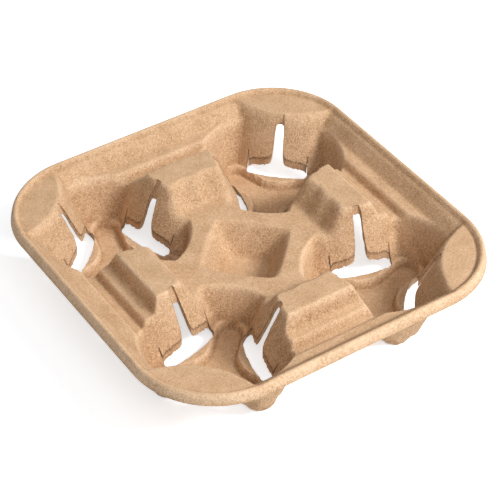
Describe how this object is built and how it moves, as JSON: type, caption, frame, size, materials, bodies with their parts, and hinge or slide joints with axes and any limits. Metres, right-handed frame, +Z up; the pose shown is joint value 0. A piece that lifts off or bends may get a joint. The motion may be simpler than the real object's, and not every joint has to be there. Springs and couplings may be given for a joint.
{
  "type": "moulded pulp cup carrier tray",
  "caption": "Square moulded paper-pulp tray with round-cornered rolled rim, cup pockets with T-slotted gripping panels, raised blocks between them and a square well in the middle.",
  "frame": {"origin": "under the tray's centre, on the surface that the pocket floors stand on", "axes": "+Z up through the tray's open side, X and Y along its sides"},
  "size_m": [0.216, 0.216, 0.044],
  "materials": {
    "pulp": "rough matt moulded paper fibre, light brown"
  },
  "bodies": {
    "root": {"carrier_tray": "pulp"}
  },
  "joints": []
}
